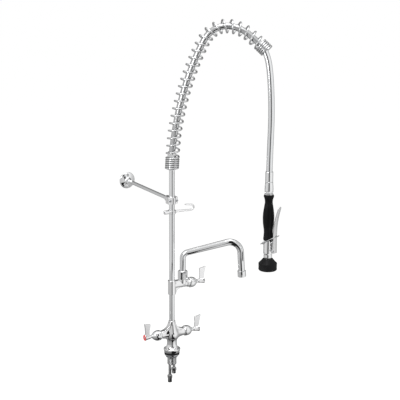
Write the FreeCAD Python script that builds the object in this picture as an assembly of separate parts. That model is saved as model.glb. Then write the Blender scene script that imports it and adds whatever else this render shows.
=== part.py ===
import FreeCAD, Part
import math
import os

V = FreeCAD.Vector
X_AXIS = V(1, 0, 0)
Y_AXIS = V(0, 1, 0)
Z_AXIS = V(0, 0, 1)

# A deck-mounted pre-rinse faucet, in millimetres.
# Origin: on the riser's axis, in the plane of the deck, under the base seal. +Z is up, the wall is at +Y,
# and the two valves lie along X, hot at -X and cold at +X.

# ---- driving dimensions --------------------------------------------------------------------------
FIT = 0.06                  # radial clearance of a running fit
GAP = 0.4                   # smallest distance between pieces that move apart

RISER_R = 8.6               # 3/8 inch pipe
RISER_BORE_R = 6.2
VALVE_Z = 66.5              # axis of the hot and cold valves
ARM_END_X = 40.0            # face where each bonnet seats on the base casting
ARM_R = 13.0
BASE_TOP_Z = 107.0
SEAL_T = 3.0
SHANK_R = 14.5               # thread at the shank's lower end
SHANK_BODY_R = 14.2          # shank inside the base, the washers and the nut
SHANK_BORE_R = 12.2
SHANK_LOW_Z = -36.0
THREAD_TOP_Z = -13.0
SHANK_TOP_Z = 18.0
WASHER_TOP_Z = -1.0
WASHER_SPLIT_Z = -4.2
NUT_TOP_SEAT_Z = -7.0
NUT_LOW_Z = -12.0
NUT_FLATS = 33.0
TAIL_R = 4.5
TAIL_BORE_R = 3.2
TAIL_X = 7.2
TAIL_TOP_Z = 30.0
FITTING_R = 6.6
FITTING_FLATS = 13.6
HOT_TAIL_Z = (-72.0, -95.0)     # end of the tube, end of its fitting
COLD_TAIL_Z = (-50.0, -68.0)
RISER_FOOT_Z = 92.0

# each valve, along its own axis from the face it seats on
BONNET_THREAD_R = 9.0
BONNET_LONG = 31.5
CARTRIDGE_R = 7.4
SPINDLE_R = 4.0
HUB_START = 36.0
HUB_END = 56.0
HUB_R = 10.0
BLADE_TOP = 46.5            # height of a lever's tip over the valve's axis
BLADE_T = 4.0
BLADE_TILT = 6.0            # lean of a lever to the front
INDEX_R = 8.6
INDEX_BORE_R = 4.3
SCREW_R = 2.0

TEE_LOW_Z = 194.0
TEE_TOP_Z = 238.0
TEE_R = 12.5
FILLER_Z = 223.0            # axis of the pot filler's valve
FILLER_END_X = 57.0
SPOUT_X = 38.0              # axis that the spout swings on
SPOUT_R = 9.2               # spout tube at the nut
SPOUT_TIP_R = 10.4          # spout tube at the outlet
SPOUT_WALL = 1.4
NUT_THREAD_R = 10.9
NUT_TOP_Z = 265.0
SPOUT_FOOT_Z = 234.0
SPOUT_BEND_Z = 304.0        # where the upright stub starts to bend
SPOUT_RISE = 15.0           # slope of the long run
SPOUT_LEAN = 3.5            # lean of the outlet leg away from upright
SPOUT_RUN = 126.0
BEND_ONE = 20.0
BEND_TWO = 34.0
LEG_LENGTH = 67.0
AERATOR_R = 13.2
AERATOR_BORE_R = 10.0
HOLE_R = 0.9                # each hole of the aerator and of the knurl

HOOK_Z = 457.5
HOOK_R = 3.1
HOOK_SCREW_R = 2.6
CLAMP_Z = 494.0
CLAMP_HALF_X = 16.5
CLAMP_HALF_Z = 10.5
CLAMP_SCREW_X = 12.0
CLAMP_SCREW_R = 2.5
CLAMP_FACE_Y = 9.0          # seat of the screw heads, in front of the riser's axis
CLAMP_HUMP_R = 15.4
WALL_Y = 312.0              # face of the wall
WALL_ROD_R = 5.8
FLANGE_R = 27.0
FLANGE_DEEP = 16.0
WALL_SCREW_Z = 17.5
WALL_HOLE_R = 2.4

ARM_TURN = -29.3            # heading of the spring arm and of the spout, about +Z from +X
SPRING_LOW_Z = 588.0
SPRING_R = 18.9             # helix radius, to the middle of the wire
WIRE_R = 2.7
SEAT_PLAY = 2.2             # between the spring and the seat inside it
CLOSED_PITCH = 6.2
CLOSED_LOW = 6              # closed turns at the foot
OPEN_TURNS = 25
CLOSED_HIGH = 5             # closed turns at the end
RISER_TOP_Z = 634.0
HOSE_R = 9.5

GUN_OUT = 294.0             # axis of the hanging spray valve, in the spring arm's frame
GUN_SIDE = -32.0
LEVER_TURN = -35.0          # heading of the squeeze lever, from the spring arm's heading
GRIP_LOW = 379.0
GRIP_TOP = 520.0
GRIP_TUBE_R = 8.5
WATER_R = 4.5               # waterway of the spray valve
FACE_LOW_Z = 289.0
COLLAR_TOP_Z = 531.0
SWIVEL_TOP_Z = 560.0
SPIGOT_R = 8.0
FERRULE_TOP_Z = 591.4
PIVOT = (21.5, 348.0)       # lever pin: out from the valve's axis, height
PIN_R = 2.0
PLUNGER_Z = 371.0
PLUNGER_R = 3.0
LEVER_WIDTH = 17.0
LEVER_T = 1.8
CLIP_PIN = (-17.5, 366.0)   # hold clip's pivot, behind the valve's body
CLIP_WIRE_R = 1.5
CLIP_HALF = 19.0
CLIP_REACH = 54.2
CLIP_RISE = 30.0
CLIP_CORNER = 7.0

# ---- the hose's route, in the spring arm's frame: out from the riser, sideways, up ---------------
# The upper hose lies inside the spring; the lower hose hangs from the spring's end.
UPPER_ROUTE = [
    V(0, 0, 637.4), V(4, 0, 672), V(14, 0, 740), V(31, 0, 815), V(53, 0, 886), V(80, 0, 952),
    V(104, 0, 999), V(140, 0, 1023), V(179, 0, 1024), V(218, -4, 1009), V(247, -12, 984),
    V(256, -14.7, 976.2),
]
LOWER_ROUTE = [
    V(256.5, -14.8, 975.8), V(270, -19, 964), V(284, -25, 934), V(291, -29, 893), V(296, -32, 822),
    V(297.5, -33, 742), V(295, -32.3, 664), V(294, -32, 592),
]
SPRING_FOOT = [V(0, 0, SPRING_LOW_Z + WIRE_R), V(0, 0, 630)]
SPRING_END = [V(268, -18.6, 966), V(282.5, -23.5, 952)]


# ---- small helpers -------------------------------------------------------------------------------
def save(name, shape):
    shape.exportStep("parts/" + name + ".step")


def outline(start, steps):
    """A closed wire in the XZ plane. A step of two numbers is a straight line, one of four an arc."""
    edges = []
    here = V(start[0], 0, start[1])
    first = here
    for step in steps:
        there = V(step[-2], 0, step[-1])
        if len(step) == 4:
            edges.append(Part.Arc(here, V(step[0], 0, step[1]), there).toShape())
        else:
            edges.append(Part.LineSegment(here, there).toShape())
        here = there
    if here.distanceToPoint(first) > 1e-6:
        edges.append(Part.LineSegment(here, first).toShape())
    return Part.Wire(edges)


def lathe(start, steps):
    """The solid turned about +Z from an outline of (radius, height) points."""
    return Part.Face(outline(start, steps)).revolve(V(0, 0, 0), Z_AXIS, 360)


def along_x(shape):
    """Lays a piece that was turned about +Z along +X, with its front still facing -Y."""
    return shape.rotated(V(0, 0, 0), Y_AXIS, 90)


def rod(start, end, radius):
    return Part.makeCylinder(radius, (end - start).Length, start, end - start)


def pipe(radius, bore, low, high, x=0.0, y=0.0):
    outer = rod(V(x, y, low), V(x, y, high), radius)
    return outer.cut(rod(V(x, y, low - 1), V(x, y, high + 1), bore))


def hexagon(across_flats, low, high, x=0.0, y=0.0, turn=0.0):
    corner = across_flats / math.sqrt(3)
    angles = [math.radians(turn + 60 * i) for i in range(7)]
    points = [V(x + corner * math.cos(a), y + corner * math.sin(a), low) for a in angles]
    return Part.Face(Part.makePolygon(points)).extrude(V(0, 0, high - low))


def joined(pieces):
    return pieces[0].fuse(pieces[1:]).removeSplitter()


def rounded_route(points, show=""):
    """Straight runs joined by tangent arcs, each arc as large as its two runs allow."""
    edges = []
    here = points[0]
    radii = []
    for before, corner, after in zip(points, points[1:], points[2:]):
        into = (corner - before).normalize()
        out = (after - corner).normalize()
        half = into.getAngle(out) / 2
        reach = 0.45 * min((corner - before).Length, (after - corner).Length)
        radius = reach / math.tan(half)
        radii.append(radius)
        inward = (out - into).normalize()
        middle = corner + inward * (radius / math.cos(half) - radius)
        edges.append(Part.LineSegment(here, corner - into * reach).toShape())
        edges.append(Part.Arc(corner - into * reach, middle, corner + out * reach).toShape())
        here = corner + out * reach
    edges.append(Part.LineSegment(here, points[-1]).toShape())
    if show:
        print(show, "bend radii", [round(r) for r in radii])
    return edges


def bar_along(edges, radius):
    """A round bar along straight and round edges that follow each other without a corner."""
    start = edges[0].valueAt(edges[0].FirstParameter)
    ring = Part.Circle(start, edges[0].tangentAt(edges[0].FirstParameter), radius).toShape()
    faces = [Part.Face(Part.Wire(ring))]
    for edge in edges:
        curve = edge.Curve
        if curve.TypeId == "Part::GeomLine":
            step = edge.valueAt(edge.LastParameter) - edge.valueAt(edge.FirstParameter)
            faces.append(ring.extrude(step))
            ring = ring.translated(step)
        else:
            turn = math.degrees(edge.Length / curve.Radius)
            faces.append(ring.revolve(curve.Center, curve.Axis, turn))
            ring = ring.rotated(curve.Center, curve.Axis, turn)
    faces.append(Part.Face(Part.Wire(ring)))
    skin = Part.makeCompound(faces)
    skin.sewShape()
    solid = Part.Solid(skin.Shells[0])
    if solid.Volume < 0:
        solid.reverse()
    return solid


class Centreline:
    """Places along a chain of edges, by distance, with a frame that doesn't twist about it."""

    def __init__(self, edges):
        self.edges = edges
        self.length = sum(e.Length for e in edges)

    def at(self, distance):
        for edge in self.edges[:-1]:
            if distance <= edge.Length:
                break
            distance -= edge.Length
        else:
            edge = self.edges[-1]
        where = edge.getParameterByLength(min(max(distance, 0.0), edge.Length))
        along = edge.tangentAt(where)
        across = (Y_AXIS - along * along.dot(Y_AXIS)).normalize()
        return edge.valueAt(where), across.cross(along), across


def coil_edges(line, radius):
    """Arcs along the spring's wire: closed turns, open turns, closed turns, round the centreline."""
    steps_a_turn = 6
    ease = 0.25
    nudge = 0.002
    margin = 0.3
    turns = CLOSED_LOW + OPEN_TURNS + CLOSED_HIGH
    closed = CLOSED_PITCH * (CLOSED_LOW + CLOSED_HIGH)
    open_pitch = (line.length - closed) / OPEN_TURNS

    def travelled(turn):
        low = min(turn, CLOSED_LOW)
        middle = min(max(turn - CLOSED_LOW, 0), OPEN_TURNS)
        high = max(turn - CLOSED_LOW - OPEN_TURNS, 0)
        return CLOSED_PITCH * (low + high) + open_pitch * middle

    def wire(turn):
        distance = (travelled(max(turn - ease, 0)) + travelled(min(turn + ease, turns))) / 2
        centre, inward, across = line.at(distance)
        angle = 2 * math.pi * turn
        return centre + inward * (radius * math.cos(angle)) + across * (radius * math.sin(angle))

    def heading(turn):
        return (wire(turn + nudge) - wire(turn - nudge)).normalize()

    edges = []
    count = turns * steps_a_turn
    stations = [margin + (turns - 2 * margin) * i / count for i in range(count + 1)]
    print("spring: open pitch", round(open_pitch, 1), "over", round(line.length), "mm")
    for first, last in zip(stations, stations[1:]):
        edges += two_arcs(wire(first), heading(first), wire(last), heading(last))
    return edges


def two_arcs(start, leave, end, arrive):
    """Two circular arcs that leave the start and reach the end in the directions given, and meet smoothly."""
    span = end - start
    both = leave + arrive
    bend = 1 - leave.dot(arrive)
    half = span.dot(both)
    reach = (math.sqrt(half * half + 2 * bend * span.dot(span)) - half) / (2 * bend)
    join = (start + end + (leave - arrive) * reach) * 0.5
    corner_one = start + leave * reach
    corner_two = end - arrive * reach
    return [arc_round(start, corner_one, join), arc_round(join, corner_two, end)]


def arc_round(start, corner, end):
    """The arc that touches both sides of a corner at equal distances."""
    half = (corner - start).getAngle(end - corner) / 2
    reach = (corner - start).Length
    radius = reach / math.tan(half)
    inward = ((start + end) * 0.5 - corner).normalize()
    middle = corner + inward * (radius / math.cos(half) - radius)
    return Part.Arc(start, middle, end).toShape()


def in_arm(shape):
    """From the spring arm's frame to the faucet's."""
    return shape.rotated(V(0, 0, 0), Z_AXIS, ARM_TURN)


def in_gun(shape):
    """From the spray valve's frame, its axis on Z and its lever at +X, to the faucet's."""
    turned = shape.rotated(V(0, 0, 0), Z_AXIS, LEVER_TURN)
    return in_arm(turned.translated(V(GUN_OUT, GUN_SIDE, 0)))


# ---- base casting and what holds it to the deck --------------------------------------------------
def base_body():
    foot = lathe((0, SEAL_T), [
        (22.8, SEAL_T), (24.8, 7.0), (26.4, 13.5), (26.8, 15.4, 25.6, 17.2),
        (19.4, 20.6, 16.6, 27.6), (15.8, 30.0), (15.8, 40.0), (16.8, 46.5, 20.0, 52.5),
        (22.6, 62.0, 21.0, 72.0), (16.4, 80.0, 13.4, 90.0), (11.4, 96.0, 10.9, 101.0),
        (10.9, 106.2), (10.1, BASE_TOP_Z), (0, BASE_TOP_Z),
    ])
    arm = lathe((0, 0), [
        (20.5, 0), (17.0, 11.0, 14.4, 21.0), (13.4, 27.0, ARM_R, 33.0),
        (ARM_R, ARM_END_X), (0, ARM_END_X),
    ])
    right = along_x(arm).translated(V(0, 0, VALVE_Z))
    body = joined([foot, right, right.mirror(V(0, 0, 0), X_AXIS)])
    bores = [
        rod(V(-ARM_END_X - 1, 0, VALVE_Z), V(ARM_END_X + 1, 0, VALVE_Z), RISER_BORE_R),
        rod(V(0, 0, RISER_FOOT_Z), V(0, 0, BASE_TOP_Z + 1), RISER_R),
        rod(V(0, 0, VALVE_Z), V(0, 0, RISER_FOOT_Z + 1), RISER_BORE_R),
        rod(V(0, 0, SEAL_T - 1), V(0, 0, SHANK_TOP_Z), SHANK_BODY_R),
    ]
    for side in (-1, 1):
        end = side * ARM_END_X
        tail = side * TAIL_X
        bores.append(rod(V(end - side * 12, 0, VALVE_Z), V(end + side, 0, VALVE_Z), BONNET_THREAD_R))
        bores.append(rod(V(tail, 0, SHANK_TOP_Z - 1), V(tail, 0, TAIL_TOP_Z), TAIL_R))
        bores.append(rod(V(tail, 0, TAIL_TOP_Z), V(tail, 0, VALVE_Z), TAIL_BORE_R))
    return body.cut(bores)


def deck_fixings():
    save("base_body", base_body())
    save("deck_seal", pipe(24.0, SHANK_BODY_R, 0, SEAL_T))
    save("shank", lathe((SHANK_BORE_R, SHANK_LOW_Z), [
        (SHANK_R - 1.6, SHANK_LOW_Z), (SHANK_R, SHANK_LOW_Z + 3.0), (SHANK_R, THREAD_TOP_Z),
        (SHANK_BODY_R, THREAD_TOP_Z), (SHANK_BODY_R, SHANK_TOP_Z), (SHANK_BORE_R, SHANK_TOP_Z),
    ]))
    save("under_deck_washer", pipe(23.5, SHANK_BODY_R, WASHER_SPLIT_Z, WASHER_TOP_Z))
    save("clamp_washer", pipe(20.5, SHANK_BODY_R, NUT_TOP_SEAT_Z, WASHER_SPLIT_Z))
    nut = hexagon(NUT_FLATS, NUT_LOW_Z, NUT_TOP_SEAT_Z, turn=ARM_TURN + 15)
    save("lock_nut", nut.cut(rod(V(0, 0, NUT_LOW_Z - 1), V(0, 0, 0), SHANK_BODY_R)))
    tail("hot", -TAIL_X, *HOT_TAIL_Z)
    tail("cold", TAIL_X, *COLD_TAIL_Z)


def tail(name, x, tube_low, fitting_low):
    """A supply tail and the fitting at its lower end."""
    overlap = 6.0
    save(name + "_tail", pipe(TAIL_R, TAIL_BORE_R, tube_low - overlap, TAIL_TOP_Z, x))
    fitting = joined([
        rod(V(x, 0, fitting_low), V(x, 0, tube_low), FITTING_R),
        hexagon(FITTING_FLATS, tube_low - 9, tube_low, x, turn=30),
    ])
    socket = rod(V(x, 0, tube_low - overlap), V(x, 0, tube_low + 1), TAIL_R)
    way = rod(V(x, 0, fitting_low - 1), V(x, 0, tube_low), TAIL_BORE_R)
    save(name + "_tail_fitting", fitting.cut([socket, way]))


# ---- one valve: bonnet, cartridge, spindle and lever handle --------------------------------------
def bonnet():
    shape = lathe((0, -10), [
        (BONNET_THREAD_R, -10), (BONNET_THREAD_R, 0), (13.4, 0), (15.2, 2.2, 16.0, 8.0),
        (16.0, 14.0, 14.0, 20.0), (10.6, 25.0, 7.6, 27.5), (6.2, 29.0), (6.0, BONNET_LONG),
        (0, BONNET_LONG),
    ])
    shape = shape.cut(rod(V(0, 0, -11), V(0, 0, 16), CARTRIDGE_R))
    return shape.cut(rod(V(0, 0, 15), V(0, 0, BONNET_LONG + 1), SPINDLE_R + FIT))


def cartridge():
    body = lathe((0, -9), [(6.4, -9), (CARTRIDGE_R, -7), (CARTRIDGE_R, 15.6), (0, 15.6)])
    ports = [rod(V(x, 0, -10), V(x, 0, -3), 1.8) for x in (-3.6, 3.6)]
    return body.cut([rod(V(0, 0, 1.5), V(0, 0, 17), SPINDLE_R + FIT)] + ports)


def handle_casting():
    """A hub and a flat blade that stands up from it and widens to its tip."""
    hub = lathe((0, HUB_START), [
        (5.6, HUB_START), (6.6, HUB_START + 1.2), (7.4, HUB_START + 9.0, 9.2, HUB_END - 3.0),
        (HUB_R, HUB_END - 1.5), (HUB_R - 0.4, HUB_END), (0, HUB_END),
    ])
    low = HUB_END - 16.5
    high = HUB_END - 2.0
    blade = outline((low, 3.0), [
        (low, 12.0), (low - 0.6, 26.0, low - 2.4, 40.0), (low - 2.2, 41.6, low - 1.0, 42.2),
        (high + 3.4, BLADE_TOP), (high + 4.9, BLADE_TOP, high + 5.0, BLADE_TOP - 2.0),
        (high + 1.4, 24.0, high, 12.0), (high, 3.0),
    ])
    plate = Part.Face(blade).extrude(V(0, BLADE_T, 0)).translated(V(0, -BLADE_T / 2, 0))
    plate = plate.rotated(V(0, 0, 0), X_AXIS, BLADE_TILT)
    casting = joined([along_x(hub), plate])
    stem = rod(V(HUB_START - 1, 0, 0), V(HUB_START + 12, 0, 0), SPINDLE_R)
    screw = rod(V(HUB_START + 11, 0, 0), V(HUB_END + 1, 0, 0), SCREW_R)
    recess = rod(V(HUB_END - 1.4, 0, 0), V(HUB_END + 1, 0, 0), INDEX_R)
    return casting.cut([stem, screw, recess])


def valve(name, seat, turned):
    """All pieces of one valve, its axis along +X from the seat, or along -X when turned."""

    def place(shape):
        return (shape.mirror(V(0, 0, 0), X_AXIS) if turned else shape).translated(seat)

    spindle = along_x(lathe((0, 2.0), [
        (SPINDLE_R - 0.4, 2.0), (SPINDLE_R, 2.4), (SPINDLE_R, HUB_START + 12), (0, HUB_START + 12),
    ]))
    thread = rod(V(HUB_START + 4, 0, 0), V(HUB_START + 13, 0, 0), SCREW_R)
    screw = along_x(lathe((0, HUB_START + 4), [
        (SCREW_R, HUB_START + 4), (SCREW_R, HUB_END - 1.4), (4.2, HUB_END - 1.4), (4.2, HUB_END + 0.4),
        (2.6, HUB_END + 1.2, 0, HUB_END + 1.4),
    ]))
    slot = Part.makeBox(1.2, 1.0, 6.0, V(HUB_END + 0.5, -0.5, -3.0))
    ring = along_x(lathe((INDEX_BORE_R, HUB_END - 1.4), [
        (INDEX_R, HUB_END - 1.4), (INDEX_R, HUB_END + 0.2), (INDEX_R - 1, HUB_END + 1.0),
        (INDEX_BORE_R + 0.9, HUB_END + 1.0), (INDEX_BORE_R, HUB_END + 0.2),
    ]))
    save(name + "_bonnet", place(along_x(bonnet())))
    save(name + "_cartridge", place(along_x(cartridge())))
    save(name + "_spindle", place(spindle.cut(thread)))
    save(name + "_handle", place(handle_casting()))
    save(name + "_index", place(ring))
    save(name + "_handle_screw", place(screw.cut(slot)))


# ---- riser, tee of the pot filler and its swinging spout -----------------------------------------
def tee_body():
    sleeve = rod(V(0, 0, TEE_LOW_Z), V(0, 0, TEE_TOP_Z), TEE_R)
    arm = rod(V(0, 0, FILLER_Z), V(FILLER_END_X, 0, FILLER_Z), 11.0)
    collar = rod(V(FILLER_END_X - 6, 0, FILLER_Z), V(FILLER_END_X, 0, FILLER_Z), ARM_R)
    web = outline((0, 200.0), [
        (TEE_R - 1, 197.0), (18.0, 208.0, 30.0, 212.4), (50.0, 213.0), (50.0, 236.0), (0, 236.0),
    ])
    plate = Part.Face(web).extrude(V(0, 15.0, 0)).translated(V(0, -7.5, 0))
    boss = rod(V(SPOUT_X, 0, FILLER_Z), V(SPOUT_X, 0, TEE_TOP_Z), 12.4)
    neck = rod(V(SPOUT_X, 0, TEE_TOP_Z), V(SPOUT_X, 0, TEE_TOP_Z + 12), NUT_THREAD_R)
    body = joined([sleeve, arm, collar, plate, boss, neck])
    neck_end = V(SPOUT_X, 0, TEE_TOP_Z + 13)
    arm_end = V(FILLER_END_X + 1, 0, FILLER_Z)
    return body.cut([
        rod(V(0, 0, TEE_LOW_Z - 1), V(0, 0, TEE_TOP_Z + 1), RISER_R),
        rod(V(4, 0, FILLER_Z), arm_end, 5.5),
        rod(V(FILLER_END_X - 12, 0, FILLER_Z), arm_end, BONNET_THREAD_R),
        rod(V(SPOUT_X, 0, FILLER_Z), neck_end, 5.0),
        rod(V(SPOUT_X, 0, SPOUT_FOOT_Z - GAP), neck_end, SPOUT_R + FIT),
        rod(V(SPOUT_X, 0, SPOUT_FOOT_Z + 4), V(SPOUT_X, 0, SPOUT_FOOT_Z + 6.5), NUT_THREAD_R - GAP),
    ])


def turned(vector, degrees):
    return FreeCAD.Rotation(Y_AXIS, degrees).multVec(vector)


def placed_at(shape, point, way):
    """A piece turned about +Z, moved so that its axis leaves the point in the given direction."""
    moved = shape.copy()
    moved.Placement = FreeCAD.Placement(point, FreeCAD.Rotation(Z_AXIS, way))
    return moved


def spout_solid(grow):
    """The spout's tube as a full bar, thicker by grow than its outside, in the arm's frame."""
    thin = SPOUT_R + grow
    thick = SPOUT_TIP_R + grow
    past = max(-grow, 0)
    start = V(0, 0, SPOUT_BEND_Z)
    centre = V(BEND_ONE, 0, SPOUT_BEND_Z)
    first_turn = 90 - SPOUT_RISE
    ring = Part.Face(Part.Wire(Part.Circle(start, Z_AXIS, thin).toShape()))
    bend_one = ring.revolve(centre, Y_AXIS, first_turn)
    run_start = centre + turned(start - centre, first_turn)
    run_way = turned(Z_AXIS, first_turn)
    run_end = run_start + run_way * SPOUT_RUN
    run = Part.makeCone(thin, thick, SPOUT_RUN, run_start, run_way)
    second = run_end + turned(run_way, 90) * BEND_TWO
    second_turn = 90 + SPOUT_RISE - SPOUT_LEAN
    face = Part.Face(Part.Wire(Part.Circle(run_end, run_way, thick).toShape()))
    bend_two = face.revolve(second, Y_AXIS, second_turn)
    leg_start = second + turned(run_end - second, second_turn)
    leg_way = turned(run_way, second_turn)
    stub = rod(V(0, 0, SPOUT_FOOT_Z - past), start, thin)
    leg = rod(leg_start, leg_start + leg_way * (LEG_LENGTH + past), thick)
    return joined([stub, bend_one, run, bend_two, leg]), leg_start + leg_way * LEG_LENGTH, leg_way


def drilled(plate, rings, low, high, radius):
    """Round holes on rings about the axis: each ring is a radius and how many holes it has."""
    holes = []
    for ring_r, count in rings:
        for i in range(count):
            angle = 2 * math.pi * i / count
            x = ring_r * math.cos(angle)
            y = ring_r * math.sin(angle)
            holes.append(rod(V(x, y, low), V(x, y, high), radius))
    return plate.cut(holes)


def spout():
    outer, tip, way = spout_solid(0)
    inner = spout_solid(-SPOUT_WALL)[0]

    def place(shape):
        return in_arm(shape).translated(V(SPOUT_X, 0, 0))

    save("spout_tube", place(outer.cut(inner)))
    save("spout_collar", place(pipe(10.4, SPOUT_R, 251.2, 254.4)))
    housing = lathe((SPOUT_TIP_R, -7.0), [
        (12.6, -7.0), (AERATOR_R, -6.2), (AERATOR_R, 11.0), (12.6, 12.0), (AERATOR_BORE_R, 12.0),
        (AERATOR_BORE_R, 1.0), (SPOUT_TIP_R, 1.0),
    ])
    save("aerator_housing", place(placed_at(housing, tip, way)))
    insert = lathe((0, 3.0), [(AERATOR_BORE_R, 3.0), (AERATOR_BORE_R, 11.0), (0, 11.0)])
    insert = drilled(insert, [(0, 1), (3.2, 6), (6.4, 12)], 2.0, 12.0, HOLE_R)
    save("aerator_insert", place(placed_at(insert, tip, way)))


def riser_and_filler():
    save("lower_riser", pipe(RISER_R, RISER_BORE_R, RISER_FOOT_Z, 207))
    save("upper_riser", pipe(RISER_R, RISER_BORE_R, 225, RISER_TOP_Z - 16))
    save("tee_body", tee_body())
    nut = hexagon(27.0, TEE_TOP_Z + GAP, NUT_TOP_Z, SPOUT_X, turn=ARM_TURN + 8)
    crown = lathe((0, TEE_TOP_Z), [
        (15.0, TEE_TOP_Z), (15.6, TEE_TOP_Z + 1.6), (15.6, NUT_TOP_Z - 3.0), (12.4, NUT_TOP_Z),
        (0, NUT_TOP_Z),
    ]).translated(V(SPOUT_X, 0, 0))
    thread = rod(V(SPOUT_X, 0, TEE_TOP_Z - 1), V(SPOUT_X, 0, 255.6), NUT_THREAD_R)
    lip = rod(V(SPOUT_X, 0, 254), V(SPOUT_X, 0, NUT_TOP_Z + 1), SPOUT_R + FIT)
    save("spout_nut", nut.common(crown).cut([thread, lip]))
    seal = pipe(NUT_THREAD_R - GAP, SPOUT_R + FIT, SPOUT_FOOT_Z + 4, SPOUT_FOOT_Z + 6.5, SPOUT_X)
    save("spout_seal", seal)


# ---- wall bracket and finger hook on the riser ---------------------------------------------------
def clamp():
    """Two halves that two screws pull together on the riser."""
    low = CLAMP_Z - CLAMP_HALF_Z
    tall = 2 * CLAMP_HALF_Z
    face = -CLAMP_FACE_Y
    front = outline((-CLAMP_HALF_X, face + 2), [
        (-14.5, face), (face, face), (0, -CLAMP_HUMP_R, -face, face), (14.5, face),
        (CLAMP_HALF_X, face + 2), (CLAMP_HALF_X, -1.0), (-CLAMP_HALF_X, -1.0),
    ])
    plate = Part.Face(front).extrude(V(0, tall, 0))
    plate = plate.rotated(V(0, 0, 0), X_AXIS, -90).translated(V(0, 0, CLAMP_Z + CLAMP_HALF_Z))
    grip = rod(V(0, 0, low - 1), V(0, 0, low + tall + 1), RISER_R)
    block = Part.makeBox(2 * CLAMP_HALF_X, CLAMP_FACE_Y, tall, V(-CLAMP_HALF_X, 1.0, low))
    hump = Part.makeCylinder(CLAMP_HUMP_R, tall, V(0, 1.0, low), Z_AXIS, 180)
    socket = rod(V(0, 10, CLAMP_Z), V(0, 32, CLAMP_Z), 9.6)
    bore = rod(V(0, 16, CLAMP_Z), V(0, 33, CLAMP_Z), WALL_ROD_R)
    screw = lathe((0, 0), [(4.0, 0), (4.0, 2.2), (2.6, 3.6, 0, 4.0)]).cut(hexagon(3.0, 1.6, 4.4))
    screw = screw.fuse(rod(V(0, 0, -18), V(0, 0, 0), CLAMP_SCREW_R)).removeSplitter()
    ways = []
    seats = []
    screws = []
    for x in (-CLAMP_SCREW_X, CLAMP_SCREW_X):
        ways.append(rod(V(x, -30, CLAMP_Z), V(x, 30, CLAMP_Z), CLAMP_SCREW_R))
        seats.append(rod(V(x, face, CLAMP_Z), V(x, face - 10, CLAMP_Z), 4.2))
        screws.append(placed_at(screw, V(x, face, CLAMP_Z), V(0, -1, 0)))
    save("clamp_front", plate.cut([grip] + ways + seats))
    save("clamp_back", joined([block, hump, socket]).cut([grip, bore] + ways))
    save("clamp_screws", Part.makeCompound(screws))


def wall_bracket():
    clamp()
    save("wall_rod", rod(V(0, 16, CLAMP_Z), V(0, WALL_Y - 3, CLAMP_Z), WALL_ROD_R))
    flange = lathe((0, 0), [
        (FLANGE_R - 0.4, 0), (FLANGE_R, 1.6), (26.2, 3.0, 24.0, 4.2), (18.0, 6.6, 12.0, 8.6),
        (9.4, 11.0, 9.0, 15.0), (8.4, FLANGE_DEEP), (0, FLANGE_DEEP),
    ])
    flange = placed_at(flange, V(0, WALL_Y, CLAMP_Z), V(0, -1, 0))
    cuts = [rod(V(0, WALL_Y - 3, CLAMP_Z), V(0, WALL_Y - 20, CLAMP_Z), WALL_ROD_R)]
    for z in (CLAMP_Z - WALL_SCREW_Z, CLAMP_Z + WALL_SCREW_Z):
        cuts.append(rod(V(0, WALL_Y + 1, z), V(0, WALL_Y - 12, z), WALL_HOLE_R))
        cuts.append(rod(V(0, WALL_Y - 4.6, z), V(0, WALL_Y - 12, z), 4.4))
    save("wall_flange", flange.cut(cuts))


def finger_hook():
    ring = rod(V(0, 0, HOOK_Z - 5.5), V(0, 0, HOOK_Z + 5.5), 12.2)
    boss = rod(V(-27, 0, HOOK_Z), V(-6, 0, HOOK_Z), 6.0)
    root = Part.makeCone(5.0, HOOK_R, 16.0, V(9, 0, HOOK_Z), X_AXIS)
    tip = V(44, 0, HOOK_Z + 18.4)
    curl = bar_along(rounded_route([
        V(22, 0, HOOK_Z), V(46, 0, HOOK_Z - 0.6), V(68, 0, HOOK_Z - 1.8), V(76, 0, HOOK_Z + 6),
        V(70, 0, HOOK_Z + 14), V(57, 0, HOOK_Z + 16.6), tip,
    ]), HOOK_R)
    hook = joined([ring, boss, root, curl, Part.makeSphere(HOOK_R, tip)])
    screw_way = rod(V(-28, 0, HOOK_Z), V(0, 0, HOOK_Z), HOOK_SCREW_R)
    save("finger_hook", hook.cut([rod(V(0, 0, HOOK_Z - 9), V(0, 0, HOOK_Z + 9), RISER_R), screw_way]))
    screw = rod(V(-24, 0, HOOK_Z), V(-RISER_R, 0, HOOK_Z), HOOK_SCREW_R)
    socket = along_x(hexagon(2.6, -25, -20)).translated(V(0, 0, HOOK_Z))
    save("hook_set_screw", screw.cut(socket))


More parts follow.
